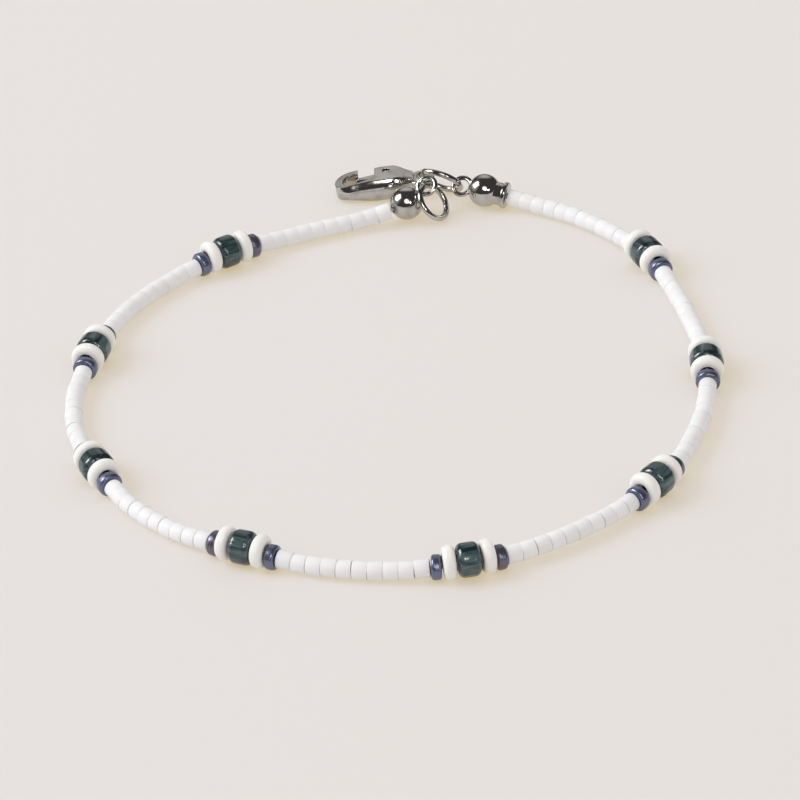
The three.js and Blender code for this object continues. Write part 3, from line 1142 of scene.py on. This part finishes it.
def clasp_lever(context):
    piece = plate("lobster_lever_fine", lever_points(), LEVER_THICKNESS)
    bevel_edges(piece, everything, LEVER_ROUNDING, segments=3)
    boolean(piece, pin_drill(), "DIFFERENCE")
    smooth(piece, angle=32)
    piece.data.transform(clasp_matrix())
    finish_piece(
        context, piece, "lobster_lever_fine", "lobster_lever", "plated_metal", body="clasp_lever"
    )


def clasp_pin(context):
    piece = disc(PIN_DIAMETER / 2, PIN_LENGTH, *LEVER_PIVOT, sides=PIN_SIDES)
    bevel_edges(piece, everything, PIN_ROUNDING, segments=3)
    smooth(piece)
    piece.data.transform(clasp_matrix())
    finish_piece(context, piece, "lobster_pin_fine", "lobster_pin", "plated_metal")


class BRACELET_OT_clasp(bpy.types.Operator):
    """Models the lobster clasp: its body, its lever and its pin"""

    bl_idname = "bracelet.clasp"
    bl_label = "Lobster clasp"

    def execute(self, context):
        clasp_body(context)
        clasp_lever(context)
        clasp_pin(context)
        return {"FINISHED"}


# Stage


def lay_floor(context):
    deselect_all()
    bpy.ops.mesh.primitive_plane_add(size=FLOOR_SIZE, location=(0, 0, 0))
    floor = context.object
    floor.name = "pale_floor"
    floor.data.materials.append(pale_surface(context.scene.bracelet_colours))


def light_room(context):
    """A soft bright dome lights the surfaces; polished ones reflect a dim room with windows"""
    world = bpy.data.worlds.new("soft_room")
    context.scene.world = world
    finish = Finish(world)
    direction = finish.add("ShaderNodeTexCoord", output=0)

    def patch(aim, inner, outer):
        """1 within the inner angle of a direction, fading to 0 at the outer angle, in degrees"""
        nearness = finish.add(
            "ShaderNodeVectorMath",
            {"operation": "DOT_PRODUCT"},
            {0: direction, 1: tuple(Vector(aim).normalized())},
            output=1,
        )
        edges = (math.cos(math.radians(outer)), math.cos(math.radians(inner)))
        return finish.ramp(nearness, *edges)

    seen = WALL_BRIGHTNESS
    for aim, inner, outer, brightness in ROOM:
        seen = seen + patch(aim, inner, outer) * brightness
    glossy = finish.add("ShaderNodeLightPath", output=3)
    strength = DOME_STRENGTH + glossy * (seen - DOME_STRENGTH)
    background = finish.add(
        "ShaderNodeBackground", {}, {"Color": (*DOME_COLOUR, 1.0), "Strength": strength}
    )
    finish.add("ShaderNodeOutputWorld", {}, {"Surface": background})


def add_window(context):
    """A rectangle of light that faces the bracelet"""
    light = bpy.data.lights.new("window", "AREA")
    light.shape = "RECTANGLE"
    light.size, light.size_y = WINDOW_WIDTH, WINDOW_HEIGHT
    light.energy = WINDOW_POWER
    light.color = WINDOW_COLOUR
    lamp = bpy.data.objects.new("window", light)
    context.collection.objects.link(lamp)
    lamp.location = WINDOW_PLACE
    lamp.rotation_euler = (-lamp.location).to_track_quat("-Z", "Y").to_euler()


def set_camera(context):
    elevation = math.radians(CAMERA_ELEVATION)
    roll = math.radians(CAMERA_ROLL)
    back = Vector((0, -math.cos(elevation), math.sin(elevation)))
    level = Vector((1, 0, 0))
    upright = back.cross(level)
    right = level * math.cos(roll) + upright * math.sin(roll)
    up = upright * math.cos(roll) - level * math.sin(roll)
    data = bpy.data.cameras.new("photo_camera")
    data.sensor_width = SENSOR_WIDTH
    data.lens = FOCAL_LENGTH_IN_IMAGE_WIDTHS * SENSOR_WIDTH
    data.clip_start, data.clip_end = 0.01, 10
    camera = bpy.data.objects.new("photo_camera", data)
    context.collection.objects.link(camera)
    matrix = Matrix((right, up, back)).transposed().to_4x4()
    matrix.translation = (back * CAMERA_DISTANCE - PLAN_MIDDLE) * MILLIMETRE
    camera.matrix_world = matrix
    context.scene.camera = camera


class BRACELET_OT_stage(bpy.types.Operator):
    """Lays the pale floor, lights it as by a soft window and sets the camera"""

    bl_idname = "bracelet.stage"
    bl_label = "Stage"

    def execute(self, context):
        lay_floor(context)
        light_room(context)
        add_window(context)
        context.scene.view_settings.view_transform = "Standard"
        set_camera(context)
        return {"FINISHED"}


class BRACELET_PT_panel(bpy.types.Panel):
    """The bracelet's sizes, colours and pieces"""

    bl_idname = "BRACELET_PT_panel"
    bl_label = "Beaded Bracelet"
    bl_space_type = "VIEW_3D"
    bl_region_type = "UI"
    bl_category = "Bracelet"

    def draw(self, context):
        scene = context.scene
        for title, group in (
            ("Beads", scene.bead_sizes),
            ("Metal", scene.metal_sizes),
            ("Colours", scene.bracelet_colours),
        ):
            box = self.layout.box()
            box.label(text=title)
            for name in group.bl_rna.properties.keys():
                if name not in ("rna_type", "name"):
                    box.prop(group, name)
        for operator in OPERATORS:
            self.layout.operator(operator.bl_idname)


PROPERTY_GROUPS = (BeadSizes, MetalSizes, Colours)
OPERATORS = (
    BRACELET_OT_white_beads,
    BRACELET_OT_glass_beads,
    BRACELET_OT_cream_beads,
    BRACELET_OT_dark_beads,
    BRACELET_OT_thread,
    BRACELET_OT_ball_ends,
    BRACELET_OT_jump_rings,
    BRACELET_OT_clasp,
    BRACELET_OT_stage,
)
CLASSES = (*PROPERTY_GROUPS, *OPERATORS, BRACELET_PT_panel)


def register():
    for item in CLASSES:
        bpy.utils.register_class(item)
    bpy.types.Scene.bead_sizes = PointerProperty(type=BeadSizes)
    bpy.types.Scene.metal_sizes = PointerProperty(type=MetalSizes)
    bpy.types.Scene.bracelet_colours = PointerProperty(type=Colours)


def unregister():
    del bpy.types.Scene.bead_sizes
    del bpy.types.Scene.metal_sizes
    del bpy.types.Scene.bracelet_colours
    for item in reversed(CLASSES):
        bpy.utils.unregister_class(item)


def main():
    register()
    bpy.ops.bracelet.white_beads()
    bpy.ops.bracelet.glass_beads()
    bpy.ops.bracelet.cream_beads()
    bpy.ops.bracelet.dark_beads()
    bpy.ops.bracelet.thread()
    bpy.ops.bracelet.ball_ends()
    bpy.ops.bracelet.jump_rings()
    bpy.ops.bracelet.clasp()
    bpy.ops.bracelet.stage()


if __name__ == "__main__":
    main()
